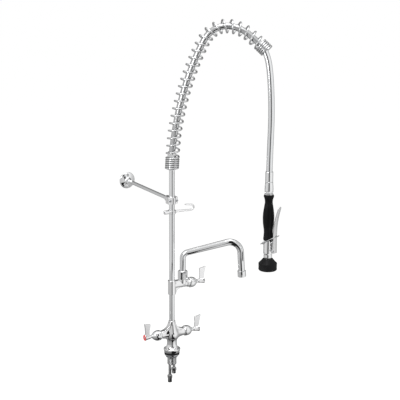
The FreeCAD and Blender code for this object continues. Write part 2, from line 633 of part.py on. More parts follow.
# ---- spring arm and hose -------------------------------------------------------------------------
def spring_arm():
    guide_r = SPRING_R - WIRE_R - SEAT_PLAY
    seat = lathe((RISER_R + FIT, 590.0), [
        (guide_r - 1.2, 590.0), (guide_r, 591.4), (guide_r, 612.0), (12.0, 615.0), (RISER_R + FIT, 616.0),
    ])
    save("spring_seat", seat)
    low = RISER_TOP_Z - 16
    cup = RISER_TOP_Z + 10
    nipple = joined([
        rod(V(0, 0, low), V(0, 0, RISER_TOP_Z + 4), 10.4),
        hexagon(23.0, RISER_TOP_Z - 6, RISER_TOP_Z + 4, turn=ARM_TURN),
        rod(V(0, 0, RISER_TOP_Z + 4), V(0, 0, cup), 12.6),
    ])
    way = rod(V(0, 0, low - 1), V(0, 0, RISER_TOP_Z + 2), RISER_BORE_R)
    pocket = rod(V(0, 0, RISER_TOP_Z + 1.5), V(0, 0, cup + 1), HOSE_R + 1.6)
    save("hose_adapter", nipple.cut([way, pocket]))
    upper = rounded_route(UPPER_ROUTE, "upper hose")
    print("upper hose length", round(sum(e.Length for e in upper)))
    save("upper_hose", in_arm(bar_along(upper, HOSE_R)))
    axis = rounded_route(SPRING_FOOT[:1] + UPPER_ROUTE[1:-1] + SPRING_END)
    wire = bar_along(coil_edges(Centreline(axis), SPRING_R), WIRE_R)
    print("spring solid", wire.isValid(), round(wire.Volume))
    save("spring", in_arm(wire))


def lower_hose():
    route = rounded_route(LOWER_ROUTE, "lower hose")
    tube = bar_along(route, HOSE_R)
    length = sum(e.Length for e in route)
    section = math.pi * HOSE_R ** 2
    print("lower hose length", round(length), "volume over section times length",
          round(tube.Volume / (section * length), 4))
    save("lower_hose", in_arm(tube))
    low = SWIVEL_TOP_Z + GAP
    end = lathe((0, low), [
        (11.2, low), (11.8, low + 1.0), (11.8, FERRULE_TOP_Z - 1.2), (11.2, FERRULE_TOP_Z),
        (0, FERRULE_TOP_Z),
    ])
    spigot = rod(V(0, 0, SWIVEL_TOP_Z - 14), V(0, 0, low + 1), SPIGOT_R)
    way = rod(V(0, 0, SWIVEL_TOP_Z - 15), V(0, 0, FERRULE_TOP_Z + 1), WATER_R)
    save("hose_ferrule", in_gun(end.fuse(spigot).removeSplitter().cut(way)))


# ---- spray valve ---------------------------------------------------------------------------------
def spray_body():
    body = lathe((0, 300.0), [
        (17.0, 300.0), (17.0, 306.0), (12.0, 310.0), (12.0, 322.0), (13.0, 325.0), (13.0, 334.0),
        (14.2, 337.0), (14.2, 372.0), (13.0, 377.0), (12.0, GRIP_LOW), (GRIP_TUBE_R, GRIP_LOW),
        (GRIP_TUBE_R, GRIP_TOP + 2), (0, GRIP_TOP + 2),
    ])
    out, up = PIVOT
    lug = outline((0, up - 5), [(out, up - 5), (out + 3.4, up, out, up + 5), (0, up + 9)])
    lug = Part.Face(lug).extrude(V(0, 8.0, 0)).translated(V(0, -4.0, 0))
    rear, height = CLIP_PIN
    boss = rod(V(rear, -4.5, height), V(rear, 4.5, height), 3.6)
    web = Part.makeBox(8.0, 9.0, 7.0, V(rear, -4.5, height - 3.5))
    guide = rod(V(0, 0, PLUNGER_Z), V(15.6, 0, PLUNGER_Z), 5.2)
    return joined([body, lug, boss, web, guide]).cut([
        rod(V(0, 0, 299), V(0, 0, 316), 10.0),
        rod(V(0, 0, 315), V(0, 0, COLLAR_TOP_Z), WATER_R),
        rod(V(out, -9, up), V(out, 9, up), PIN_R),
        rod(V(rear, -9, height), V(rear, 9, height), CLIP_WIRE_R + FIT),
        rod(V(-9.0, 0, PLUNGER_Z), V(17, 0, PLUNGER_Z), PLUNGER_R + FIT),
    ])


def spray_head():
    bore = SPIGOT_R + FIT
    nut = lathe((bore, COLLAR_TOP_Z), [
        (12.6, COLLAR_TOP_Z), (13.3, 533.0), (13.0, 545.0, 12.0, 556.0), (11.8, SWIVEL_TOP_Z),
        (bore, SWIVEL_TOP_Z),
    ])
    save("swivel_nut", in_gun(nut))
    collar = lathe((GRIP_TUBE_R, GRIP_TOP), [
        (12.2, GRIP_TOP), (12.8, 521.5), (12.8, 530.0), (11.8, COLLAR_TOP_Z), (8.0, COLLAR_TOP_Z),
        (8.0, GRIP_TOP + 2), (GRIP_TUBE_R, GRIP_TOP + 2),
    ])
    save("grip_collar", in_gun(drilled(collar, [(13.0, 24)], 523.0, 530.0, HOLE_R)))
    save("spray_body", in_gun(spray_body()))
    grip = lathe((GRIP_TUBE_R, GRIP_LOW), [
        (14.6, GRIP_LOW), (15.4, GRIP_LOW + 3.0), (15.0, GRIP_LOW + 8.0), (13.8, 400.0, 14.4, 414.0),
        (17.4, 440.0, 17.0, 462.0), (14.2, 482.0, 12.2, 494.0), (12.2, 502.0, 14.2, 511.0),
        (15.6, 513.6), (15.6, 518.4), (14.6, GRIP_TOP), (GRIP_TUBE_R, GRIP_TOP),
    ])
    save("grip", in_gun(grip))
    face = lathe((0, FACE_LOW_Z), [
        (20.0, FACE_LOW_Z), (20.0, 292.0), (17.0, 293.0), (17.0, 300.0), (12.0, 300.0), (12.0, 296.0),
        (0, 296.0),
    ])
    face = drilled(face, [(5.0, 6), (10.0, 12), (14.5, 16)], FACE_LOW_Z - 1, 297.0, 0.8)
    save("spray_face", in_gun(face))
    bumper = lathe((20.0, 283.6), [
        (23.0, 283.2), (27.4, 284.6, 28.2, FACE_LOW_Z), (28.4, 303.0), (27.8, 306.6, 25.4, 308.4),
        (17.0, 318.0), (14.4, 320.6, 12.0, 320.6), (12.0, 310.0), (17.0, 306.0), (17.0, 293.0),
        (20.0, 292.0),
    ])
    save("spray_bumper", in_gun(bumper))


def squeeze_lever():
    """A pressed channel: a broad outer web with two flanges that straddle the body's lug."""
    out, up = PIVOT
    path = [
        (out + 6.1, up - 6.0), (out + 6.0, up + 20.0), (out + 5.6, 392.0),
        (out + 6.2, 418.0), (31.5, 446.0), (37.5, 470.0), (42.0, 485.0),
    ]
    depth = [10.0, 9.0, 6.5, 5.0, 4.0, 3.0, 2.0]
    outer = [V(x, 0, z) for x, z in path]
    inner = [V(x - deep, 0, z) for (x, z), deep in zip(path, depth)]
    side = Part.Face(Part.makePolygon(outer + inner[::-1] + outer[:1]))
    block = side.extrude(V(0, LEVER_WIDTH, 0)).translated(V(0, -LEVER_WIDTH / 2, 0))
    web = [V(x - LEVER_T, 0, z) for x, z in path]
    mouth = [V(x - deep - 1, 0, z) for (x, z), deep in zip(path, depth)]
    top = web[-1] + (web[-1] - web[-2])
    low = web[0] - V(0, 0, 5)
    loop = [low] + web + [top, V(top.x - 8, 0, top.z)] + mouth[::-1] + [V(low.x - 20, 0, low.z), low]
    width = LEVER_WIDTH - 2 * LEVER_T
    cavity = Part.Face(Part.makePolygon(loop)).extrude(V(0, width, 0)).translated(V(0, -width / 2, 0))
    pin_way = rod(V(out, -LEVER_WIDTH, up), V(out, LEVER_WIDTH, up), PIN_R + FIT)
    save("squeeze_lever", in_gun(block.cut([cavity, pin_way])))
    shoulder = LEVER_WIDTH / 2 + GAP
    pin = joined([
        rod(V(out, -shoulder - 1, up), V(out, shoulder + 1, up), PIN_R),
        rod(V(out, -shoulder - 2.2, up), V(out, -shoulder, up), 3.6),
        rod(V(out, shoulder, up), V(out, shoulder + 2.2, up), 3.2),
    ])
    save("lever_pin", in_gun(pin))
    stem_end = out + 6.0 - LEVER_T - 2 * GAP
    save("plunger", in_gun(rod(V(-6.0, 0, PLUNGER_Z), V(stem_end, 0, PLUNGER_Z), PLUNGER_R)))


def hold_clip():
    """A wire loop that pivots behind the body and is swung over the squeezed lever to hold it."""
    rise = math.radians(CLIP_RISE)
    pin = V(CLIP_PIN[0], 0, CLIP_PIN[1])
    far = pin + V(math.cos(rise), 0, math.sin(rise)) * CLIP_REACH
    side = V(0, CLIP_HALF, 0)
    corners = [pin, pin - side, far - side, far + side, pin + side, pin]
    edges = []
    here = pin
    for before, at, after in zip(corners, corners[1:], corners[2:]):
        start = at - (at - before).normalize() * CLIP_CORNER
        end = at + (after - at).normalize() * CLIP_CORNER
        edges.append(Part.LineSegment(here, start).toShape())
        edges.append(arc_round(start, at, end))
        here = end
    slit = V(0, 0.05, 0)
    edges.append(Part.LineSegment(here, pin + slit).toShape())
    save("hold_clip", in_gun(bar_along(edges, CLIP_WIRE_R)))


def main():
    os.makedirs("parts", exist_ok=True)
    deck_fixings()
    valve("hot", V(-ARM_END_X, 0, VALVE_Z), True)
    valve("cold", V(ARM_END_X, 0, VALVE_Z), False)
    valve("filler", V(FILLER_END_X, 0, FILLER_Z), False)
    riser_and_filler()
    spout()
    wall_bracket()
    finger_hook()
    spring_arm()
    lower_hose()
    spray_head()
    squeeze_lever()
    hold_clip()


main()
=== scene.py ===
import math

import bmesh
import bpy
import numpy as np
from mathutils import Matrix, Vector


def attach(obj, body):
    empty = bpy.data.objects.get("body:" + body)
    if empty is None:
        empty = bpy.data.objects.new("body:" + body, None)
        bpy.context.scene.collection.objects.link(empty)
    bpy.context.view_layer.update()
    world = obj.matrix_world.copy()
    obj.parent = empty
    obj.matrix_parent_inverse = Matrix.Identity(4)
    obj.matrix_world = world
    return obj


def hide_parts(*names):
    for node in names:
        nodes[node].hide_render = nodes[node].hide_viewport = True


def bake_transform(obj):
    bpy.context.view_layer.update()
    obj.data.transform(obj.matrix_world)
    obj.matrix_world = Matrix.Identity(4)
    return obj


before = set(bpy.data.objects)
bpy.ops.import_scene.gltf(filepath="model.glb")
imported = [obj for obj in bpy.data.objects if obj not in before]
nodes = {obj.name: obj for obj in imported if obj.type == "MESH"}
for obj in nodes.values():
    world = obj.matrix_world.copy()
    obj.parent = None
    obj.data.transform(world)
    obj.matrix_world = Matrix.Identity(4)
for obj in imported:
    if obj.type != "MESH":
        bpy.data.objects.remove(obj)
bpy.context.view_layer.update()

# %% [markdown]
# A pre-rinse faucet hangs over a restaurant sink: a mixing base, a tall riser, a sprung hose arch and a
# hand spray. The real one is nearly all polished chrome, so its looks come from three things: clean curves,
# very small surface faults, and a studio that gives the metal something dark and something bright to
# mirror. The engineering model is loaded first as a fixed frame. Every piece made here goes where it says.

MM = 0.001
ARM_HEADING = math.radians(-29.3)
OUT = Vector((math.cos(ARM_HEADING), math.sin(ARM_HEADING), 0))
BACK = Vector((-math.sin(ARM_HEADING), math.cos(ARM_HEADING), 0))
UP = Vector((0, 0, 1))


def in_arm(out, side, height):
    """A point of the spring arm's own frame, in millimetres, as a place in metres."""
    return (OUT * out + BACK * side + UP * height) * MM


# %% [markdown]
# The camera stands where a product photographer would: above the middle of the faucet and far back, with a
# long lens, so that upright pipes stay almost parallel. A camera could be aimed with angles, but building
# its turn from three directions (right, up, back) is easier to reason about and never flips over. A slight
# roll keeps the riser plumb in the picture.

# %% Camera
CAMERA_PLACE = (-1.7524, -3.2980, 1.4051)
CAMERA_PITCH = math.radians(13.7)
CAMERA_ROLL = math.radians(0.29)
CAMERA_LENS = 113.4
CAMERA_FAR = 1000.0
view_way = BACK * math.cos(CAMERA_PITCH) - UP * math.sin(CAMERA_PITCH)
view_up = OUT.cross(view_way)
right = OUT * math.cos(CAMERA_ROLL) + view_up * math.sin(CAMERA_ROLL)
upward = right.cross(view_way)
camera_data = bpy.data.cameras.new("camera")
camera_data.lens = CAMERA_LENS
camera_data.sensor_width = 36.0
camera_data.clip_end = CAMERA_FAR
camera = bpy.data.objects.new("camera", camera_data)
camera_turn = Matrix((right, upward, -view_way)).transposed().to_4x4()
camera.matrix_world = Matrix.Translation(CAMERA_PLACE) @ camera_turn
bpy.context.scene.collection.objects.link(camera)
bpy.context.scene.camera = camera
print("camera looks along", [round(x, 3) for x in view_way])

# %% [markdown]
# The two lengths of hose come next, because everything on the arch hangs on their line. A hose has one
# fixed length, and it bends in one smooth curve. A NURBS spline does that with a few given points: it
# starts and ends on the outer points and is pulled towards the others. The line is then read back from the
# spline, so that the jacket follows exactly the same curve. The spring keeps the upper hose's points and
# only starts lower, on its seat, and ends further on, past the end of that hose.

# %% Routes of the hose
UPPER_ROUTE = [
    (0, 0, 637.4), (4, 0, 672), (14, 0, 740), (31, 0, 815), (53, 0, 886), (80, 0, 952),
    (104, 0, 999), (140, 0, 1023), (179, 0, 1024), (218, -4, 1009), (247, -12, 984),
    (256, -14.7, 976.2),
]
LOWER_ROUTE = [
    (256.5, -14.8, 975.8), (270, -19, 964), (284, -25, 934), (291, -29, 893), (296, -32, 822),
    (297.5, -33, 742), (295, -32.3, 664), (294, -32, 592),
]
SPRING_ROUTE = [(0, 0, 590.7)] + UPPER_ROUTE[1:-1] + [(268, -18.6, 966), (282.5, -23.5, 952)]
SPLINE_STEPS = 24
HOSE_STATION = 0.55 * MM


def spline_object(name, places):
    """A smooth open curve that its points, in metres, pull into shape."""
    curve = bpy.data.curves.new(name, "CURVE")
    curve.dimensions = "3D"
    spline = curve.splines.new("NURBS")
    spline.points.add(len(places) - 1)
    for point, place in zip(spline.points, places):
        point.co = (*place, 1)
    spline.order_u = 3
    spline.use_endpoint_u = True
    spline.resolution_u = SPLINE_STEPS
    obj = bpy.data.objects.new(name, curve)
    bpy.context.scene.collection.objects.link(obj)
    return obj


def read_line(obj, spacing):
    """The curve's own line as points an even distance apart, and how far along it each point is."""
    bpy.context.view_layer.update()
    mesh = bpy.data.meshes.new_from_object(obj)
    points = np.array([v.co for v in mesh.vertices])
    bpy.data.meshes.remove(mesh)
    steps = np.linalg.norm(np.diff(points, axis=0), axis=1)
    along = np.concatenate([[0], np.cumsum(steps)])
    stations = np.linspace(0, along[-1], max(2, round(along[-1] / spacing) + 1))
    return np.stack([np.interp(stations, along, points[:, k]) for k in range(3)], axis=1), stations


upper_curve, lower_curve, spring_curve = [
    spline_object(name, [in_arm(*place) for place in route]) for name, route in (
        ("upper_route", UPPER_ROUTE), ("lower_route", LOWER_ROUTE), ("spring_route", SPRING_ROUTE))]
upper_line, upper_at = read_line(upper_curve, HOSE_STATION)
lower_line, lower_at = read_line(lower_curve, HOSE_STATION)
print("hose: upper", round(upper_at[-1], 3), "m, lower", round(lower_at[-1], 3), "m")

# %% [markdown]
# A studio for chrome is mostly what stands round it. Chrome shows no colour of its own, so in a white room
# it would vanish. A photographer hangs a tent of cloth and cards round the piece: light where the metal
# should shine, grey behind its sides so that edges are drawn, dark under it, and black cards in front of it
# for the dark line down every pipe. Here the tent is a ring and a disc with grey levels painted on their
# points, and three flat sheets are the cards. Only reflections see them, and the floor and the room stay
# plain and pale.

# %% Room and floor
scene = bpy.context.scene
scene.view_settings.view_transform = "Standard"
world = bpy.data.worlds.new("room")
world.use_nodes = True
world.node_tree.nodes["Background"].inputs["Color"].default_value = (1.0, 1.0, 1.0, 1)
world.node_tree.nodes["Background"].inputs["Strength"].default_value = 1.0
scene.world = world
FLOOR_Z = -0.35
FLOOR_REACH = 400.0


def stage_mesh(name, vertices, faces):
    mesh = bpy.data.meshes.new(name)
    mesh.from_pydata([tuple(v) for v in vertices], [], faces)
    obj = bpy.data.objects.new(name, mesh)
    scene.collection.objects.link(obj)
    return obj


floor_corners = [(x * FLOOR_REACH, y * FLOOR_REACH, FLOOR_Z) for x, y in ((-1, -1), (1, -1), (1, 1), (-1, 1))]
floor = stage_mesh("floor", floor_corners, [(0, 1, 2, 3)])
paint = bpy.data.materials.new("floor_paint")
paint.use_nodes = True
floor_shader = paint.node_tree.nodes["Principled BSDF"]
floor_shader.inputs["Base Color"].default_value = (1.0, 1.0, 1.0, 1)
floor_shader.inputs["Roughness"].default_value = 1.0
floor_shader.inputs["Specular IOR Level"].default_value = 0.0
floor.data.materials.append(paint)
print("floor at", FLOOR_Z, "m")

# %% Tent that only reflections see
glow = bpy.data.materials.new("tent_cloth")
glow.use_nodes = True
glow.node_tree.nodes.clear()
painted_level = glow.node_tree.nodes.new("ShaderNodeAttribute")
painted_level.attribute_name = "level"
cloth = glow.node_tree.nodes.new("ShaderNodeEmission")
cloth_end = glow.node_tree.nodes.new("ShaderNodeOutputMaterial")
glow.node_tree.links.new(painted_level.outputs["Color"], cloth.inputs["Color"])
glow.node_tree.links.new(cloth.outputs[0], cloth_end.inputs["Surface"])


def cloth_piece(name, vertices, faces, levels):
    obj = stage_mesh(name, vertices, faces)
    obj.data.materials.append(glow)
    shade = obj.data.color_attributes.new("level", "FLOAT_COLOR", "POINT")
    for item, level in zip(shade.data, levels):
        item.color = (level, level, level, 1)
    obj.visible_camera = False
    obj.visible_diffuse = False
    obj.visible_shadow = False
    obj.visible_transmission = False


def bearing_way(bearing):
    """A level direction, its bearing in degrees to the right of the camera as seen from the riser."""
    turn = math.radians(bearing)
    return OUT * math.sin(turn) - BACK * math.cos(turn)


TENT_R = 1.3
TENT_FLOOR_Z = -0.12
TENT_PANELS = 72
# Grey levels round the tent: bearing to the right of the camera, level.
TENT_LEVELS = [
    (-180, 0.16), (-165, 0.18), (-148, 0.34), (-118, 0.62), (-90, 0.74), (-60, 0.80), (-30, 0.66), (-8, 0.60),
    (36, 0.78), (58, 0.97), (85, 0.90), (112, 0.54), (140, 0.34), (160, 0.18), (180, 0.16)]
# Rows of the ring, from its foot up: height, and what the grey levels are multiplied by.
TENT_ROWS = [(TENT_FLOOR_Z, 0.95), (0.9, 1.0), (1.9, 1.1)]
# Grey levels of the ground: radius, level, and how much of the bright side it takes on.
GROUND_LEVELS = [
    (0.08, 0.07, 0.0), (0.13, 0.20, 0.2), (0.22, 0.28, 0.5), (0.45, 0.40, 0.8), (0.9, 0.50, 1.0),
    (TENT_R, 0.55, 1.0)]
GROUND_MIDDLE = 0.05
BRIGHT_SIDE = 58.0
BRIGHT_SPREAD = 34.0
BRIGHT_LEVEL = 1.0


def tent_ring():
    bearings = np.linspace(-180, 180, TENT_PANELS + 1)
    known = np.array(TENT_LEVELS)
    vertices, levels, faces = [], [], []
    for height, gain in TENT_ROWS:
        for bearing in bearings:
            vertices.append(bearing_way(bearing) * TENT_R + UP * height)
            levels.append(float(np.interp(bearing, known[:, 0], known[:, 1])) * gain)
    for row in range(len(TENT_ROWS) - 1):
        for i in range(TENT_PANELS):
            a = row * len(bearings) + i
            faces.append((a, a + 1, a + 1 + len(bearings), a + len(bearings)))
    cloth_piece("tent_ring", vertices, faces, levels)


def tent_disc():
    sides = TENT_PANELS
    height = UP * TENT_FLOOR_Z
    vertices, levels, faces = [height], [GROUND_MIDDLE], []
    for radius, level, share in GROUND_LEVELS:
        for i in range(sides):
            bearing = i * 360 / sides
            off = (bearing - BRIGHT_SIDE + 180) % 360 - 180
            bright = math.exp(-(off / BRIGHT_SPREAD) ** 2) * share
            vertices.append(bearing_way(bearing) * radius + height)
            levels.append(level + (BRIGHT_LEVEL - level) * bright)
    for i in range(sides):
        k = (i + 1) % sides
        faces.append((0, 1 + i, 1 + k))
        for row in range(len(GROUND_LEVELS) - 1):
            a = 1 + row * sides
            faces.append((a + i, a + sides + i, a + sides + k, a + k))
    cloth_piece("tent_disc", vertices, faces, levels)


tent_ring()
tent_disc()
print("tent:", len(TENT_LEVELS), "grey levels round it and", len(GROUND_LEVELS), "on its ground")

# %% Black cards and soft boxes
CARD_LEVEL = 0.012
CARD_FRONT = 0.50
CARD_FOOT = TENT_FLOOR_Z + 0.002
# The cards' edges, in metres from the riser: left, right, and low and high or near and far.
UPRIGHT_CARDS = [(-0.02, 0.17, CARD_FOOT, 0.15), (0.16, 0.39, 0.10, 1.15)]
GROUND_CARD = (-0.01, 0.15, 0.05, CARD_FRONT)
STUDIO_MIDDLE = Vector((0.1, 0.0, 0.5))


def black_card(corners):
    """A black card. Its corners are (to the right of the riser, in front of it, up)."""
    places = [OUT * x - BACK * front + UP * z for x, front, z in corners]
    cloth_piece("black_card", places, [(0, 1, 2, 3)], [CARD_LEVEL] * 4)


for left, right, low, high in UPRIGHT_CARDS:
    black_card([(x, CARD_FRONT, z) for x, z in ((left, low), (right, low), (right, high), (left, high))])
left, right, near, far = GROUND_CARD
black_card([(x, front, CARD_FOOT) for x, front in ((left, near), (right, near), (right, far), (left, far))])


def soft_box(name, place, width, height, power):
    """A soft light, its sizes in metres and its power in watts, turned to the middle of the faucet."""
    data = bpy.data.lights.new(name, "AREA")
    data.shape = "RECTANGLE"
    data.size = width
    data.size_y = height
    data.energy = power
    obj = bpy.data.objects.new(name, data)
    obj.location = place
    obj.rotation_euler = (STUDIO_MIDDLE - place).to_track_quat("-Z", "Y").to_euler()
    scene.collection.objects.link(obj)


soft_box("left_box", STUDIO_MIDDLE - BACK * 0.9 - OUT * 0.8 + UP * 0.6, width=0.25, height=0.9, power=5)
soft_box("top_box", STUDIO_MIDDLE + UP * 1.6 - BACK * 0.3, width=1.0, height=0.8, power=8)
print("studio: 3 black cards and 2 soft boxes")

# %% [markdown]
# Finishes are made of nodes, and node maths is hard to read as boxes and wires. So one small class wraps a
# socket and lets Python's own +, -, * and / add the maths nodes. Writing 1 - wear then works as it reads.
# The same class serves the materials and the geometry trees.


# %% A socket that can do sums
class Wire:
    def __init__(self, maker, socket):
        self.maker = maker
        self.socket = socket

    def out(self, name):
        """Another output of the node that this one comes from."""
        return Wire(self.maker, self.socket.node.outputs[name])

    def sum(self, operation, *values):
        return self.maker.add("ShaderNodeMath", {"operation": operation}, list(values))

    def __add__(self, other):
        return self.sum("ADD", self, other)

    def __radd__(self, other):
        return self.sum("ADD", other, self)

    def __sub__(self, other):
        return self.sum("SUBTRACT", self, other)

    def __rsub__(self, other):
        return self.sum("SUBTRACT", other, self)

    def __mul__(self, other):
        return self.sum("MULTIPLY", self, other)

    def __rmul__(self, other):
        return self.sum("MULTIPLY", other, self)

    def __truediv__(self, other):
        return self.sum("DIVIDE", self, other)

    def __rtruediv__(self, other):
        return self.sum("DIVIDE", other, self)

    def at_least(self, other):
        return self.sum("MAXIMUM", self, other)

    def at_most(self, other):
        return self.sum("MINIMUM", self, other)

    def step(self, low, high):
        """0 below low, 1 above high, smooth between."""
        return self.maker.add("ShaderNodeMapRange", {"interpolation_type": "SMOOTHSTEP"},
                              {"Value": self, "From Min": low, "From Max": high})


class Maker:
    """Adds nodes to one tree."""

    def __init__(self, tree):
        self.tree = tree

    def add(self, kind, settings=None, inputs=None):
        """A node of this kind. Its settings come first, then the values or wires of its sockets."""
        node = self.tree.nodes.new(kind)
        for key, value in (settings or {}).items():
            if key == "stops":
                self.set_stops(node.color_ramp, value)
            else:
                setattr(node, key, value)
        pairs = enumerate(inputs) if isinstance(inputs, list) else (inputs or {}).items()
        for key, value in pairs:
            socket = node.inputs[key]
            if isinstance(value, Wire):
                self.tree.links.new(value.socket, socket)
            elif value is not None:
                socket.default_value = value
        shown = [s for s in node.outputs if s.enabled]
        return Wire(self, shown[0]) if shown else node

    @staticmethod
    def set_stops(ramp, stops):
        while len(ramp.elements) < len(stops):
            ramp.elements.new(0.5)
        for element, (place, colour) in zip(ramp.elements, stops):
            element.position = place
            element.color = (*colour, 1)


print("socket sums ready")

# %% [markdown]
# Chrome plate is a mirror with faults. Four of them matter, each at its own size: slow waves where the
# casting was polished by hand, fine buffing lines, dull patches from water and fingers, and tiny dried spots.
# A single roughness number would look like computer chrome, so the faults steer roughness and a shallow bump.
# One function makes every bright metal here, because castings, tube and wire differ only in these amounts.


# %% Bright metals
class Finish(Maker):
    """A material that starts as one shader, whose patterns read the object's own coordinates."""

    def __init__(self, name):
        self.material = bpy.data.materials.new(name)
        self.material.use_nodes = True
        super().__init__(self.material.node_tree)
        self.shader = self.tree.nodes["Principled BSDF"]
        self.place = Wire(self, self.add("ShaderNodeTexCoord").socket.node.outputs["Object"])

    def noise(self, scale, detail=3.0, distortion=0.0, place=None):
        return self.add("ShaderNodeTexNoise", None, {
            "Vector": place or self.place, "Scale": scale, "Detail": detail, "Distortion": distortion})

    def stretched(self, scale):
        """The object's coordinates, scaled by a different amount each way."""
        return self.add("ShaderNodeMapping", None, {"Vector": self.place, "Scale": scale})

    def blend(self, factor, low, high):
        """A colour between two colours."""
        mixed = self.add("ShaderNodeMix", {"data_type": "RGBA"}, {0: factor, 6: (*low, 1), 7: (*high, 1)})
        return Wire(self, mixed.socket.node.outputs[2])

    def set(self, **values):
        for name, value in values.items():
            socket = self.shader.inputs[name.replace("_", " ")]
            if isinstance(value, Wire):
                self.tree.links.new(value.socket, socket)
            else:
                socket.default_value = (*value, 1) if isinstance(value, tuple) else value

    def bump(self, height, strength, distance):
        self.set(Normal=self.add("ShaderNodeBump", None, {
            "Height": height, "Strength": strength, "Distance": distance}))


def bright_metal(name, colour, dull, gloss=0.03, wave=0.2, lines=(900.0, 900.0, 60.0), spots=True):
    """A plated or polished metal: its colour, its duller colour, and how much each fault shows."""
    finish = Finish(name)
    smear = finish.noise(30.0, 5.0, 0.6).step(0.52, 0.80)
    cloud = finish.noise(9.0, 2.0)
    buffing = finish.noise(1.0, 2.0, place=finish.stretched(lines))
    faults = smear * 0.035 + cloud * 0.015 + buffing * 0.018
    if spots:
        cell = finish.add("ShaderNodeTexVoronoi", {"feature": "F1"}, {
            "Vector": finish.place, "Scale": 420.0, "Randomness": 1.0})
        dried = (1 - cell.step(0.08, 0.14)) * finish.noise(24.0, 2.0).step(0.60, 0.70)
        faults = faults + dried * 0.10
        smear = (smear * 0.4 + dried * 0.5).at_most(1.0)
    finish.set(Base_Color=finish.blend(smear, colour, dull), Metallic=1.0, Roughness=gloss + faults)
    finish.bump(finish.noise(26.0, 1.0) * wave + buffing * 0.012, 0.3, 0.0005)
    return finish.material


chrome = bright_metal("chrome_plate", (0.89, 0.895, 0.90), (0.84, 0.85, 0.86))
cast_chrome = bright_metal("cast_chrome", (0.90, 0.90, 0.905), (0.85, 0.86, 0.865), wave=0.35)
tube_chrome = bright_metal("tube_chrome", (0.87, 0.876, 0.882), (0.82, 0.83, 0.84), gloss=0.04, wave=0.08,
                           lines=(1400.0, 1400.0, 22.0))
spring_wire = bright_metal("spring_wire", (0.66, 0.665, 0.67), (0.56, 0.57, 0.58), gloss=0.06, wave=0.1)
# The hose inside the spring gets a darker copy of the jacket: painted shade where the spring's coils shade
# it.
shaded_jacket = bright_metal("shaded_jacket", (0.58, 0.585, 0.59), (0.48, 0.49, 0.50), gloss=0.07, wave=0.08,
                             spots=False)
hose_jacket = bright_metal("hose_jacket", (0.85, 0.86, 0.87), (0.78, 0.79, 0.80), gloss=0.07, wave=0.08,
                           lines=(1100.0, 1100.0, 40.0), spots=False)
handle_metal = bright_metal("handle_metal", (0.88, 0.88, 0.885), (0.83, 0.835, 0.84), gloss=0.12, wave=0.2)
zinc = bright_metal("zinc_plate", (0.66, 0.67, 0.69), (0.50, 0.51, 0.53), gloss=0.2, spots=False)
print("bright metals: 8")

# %% [markdown]
# The few soft and moulded pieces are the grip, the bumper, the seals and the colour rings. Moulded plastic
# has a fine spark-eroded grain and is rubbed shinier where hands hold it. Rubber is more matt and greys with
# dried water. Both are plain dark colours, so the grain in the bump and the changes in roughness do the
# work. The same function makes the ceramic of the cartridges inside the valves.


# %% Moulded pieces
def moulded(name, colour, worn, roughness, grain, grain_size=1500.0, coat=0.0, shine=0.24):
    """Plastic or rubber with a moulded grain, rubbed patches and dust in the hollows."""
    finish = Finish(name)
    rubbed = finish.noise(30.0, 4.0, 0.4).step(0.45, 0.7)
    pits = finish.noise(grain_size, 2.0)
    speck = finish.noise(420.0, 1.0).step(0.66, 0.74)
    shown = (rubbed * 0.6 + speck * 0.35).at_most(1.0)
    finish.set(Base_Color=finish.blend(shown, colour, worn), Metallic=0.0,
               Roughness=roughness - rubbed * 0.10 + pits * 0.08, Specular_IOR_Level=shine)
    if coat:
        finish.set(Coat_Weight=coat, Coat_Roughness=0.12)
    finish.bump(pits + finish.noise(90.0, 2.0) * 0.3, 0.25, grain)
    return finish.material


grip_plastic = moulded("grip_plastic", (0.004, 0.004, 0.0045), (0.010, 0.010, 0.011), 0.33, 0.00006,
                       shine=0.10)
bumper_rubber = moulded("bumper_rubber", (0.006, 0.006, 0.0065), (0.014, 0.014, 0.015), 0.45, 0.0001,
                        grain_size=1100.0, shine=0.13)
seal_rubber = moulded("seal_rubber", (0.008, 0.008, 0.009), (0.02, 0.02, 0.02), 0.55, 0.0001)
red_ring = moulded("red_ring", (0.80, 0.035, 0.03), (0.70, 0.05, 0.04), 0.32, 0.00004, coat=0.5)
blue_ring = moulded("blue_ring", (0.03, 0.12, 0.55), (0.04, 0.14, 0.50), 0.32, 0.00004, coat=0.5)
grey_ring = moulded("grey_ring", (0.52, 0.53, 0.54), (0.46, 0.47, 0.48), 0.35, 0.00004, coat=0.3)
ceramic = moulded("ceramic", (0.70, 0.68, 0.63), (0.62, 0.60, 0.55), 0.40, 0.00003)
print("moulded finishes: 7")

# %% [markdown]
# A hose is a tube drawn along its line. At every station a ring of points is set square to the line, and
# each ring is turned from the last by the least amount, so the tube never twists. The jacket is a strip of
# steel wound round and hooked into itself, which leaves a shallow spiral groove. Making that groove by moving
# the points costs little, and unlike a bump it still shows at the outline.


# %% Tubes along a line
def frames_along(line):
    """Directions across the line at every point, carried along without a twist."""
    tangents = np.gradient(line, axis=0)
    tangents /= np.linalg.norm(tangents, axis=1)[:, None]
    first = np.cross(tangents[0], np.array(BACK))
    across = [first / np.linalg.norm(first)]
    for tangent in tangents[1:]:
        moved = across[-1] - tangent * np.dot(across[-1], tangent)
        across.append(moved / np.linalg.norm(moved))
    across = np.array(across)
    return tangents, across, np.cross(tangents, across)


def new_piece(name, vertices, faces, material):
    mesh = bpy.data.meshes.new(name)
    mesh.from_pydata([tuple(v) for v in vertices], [], faces)
    mesh.materials.append(material)
    mesh.shade_smooth()
    mesh.update()
    obj = bpy.data.objects.new(name, mesh)
    scene.collection.objects.link(obj)
    return obj


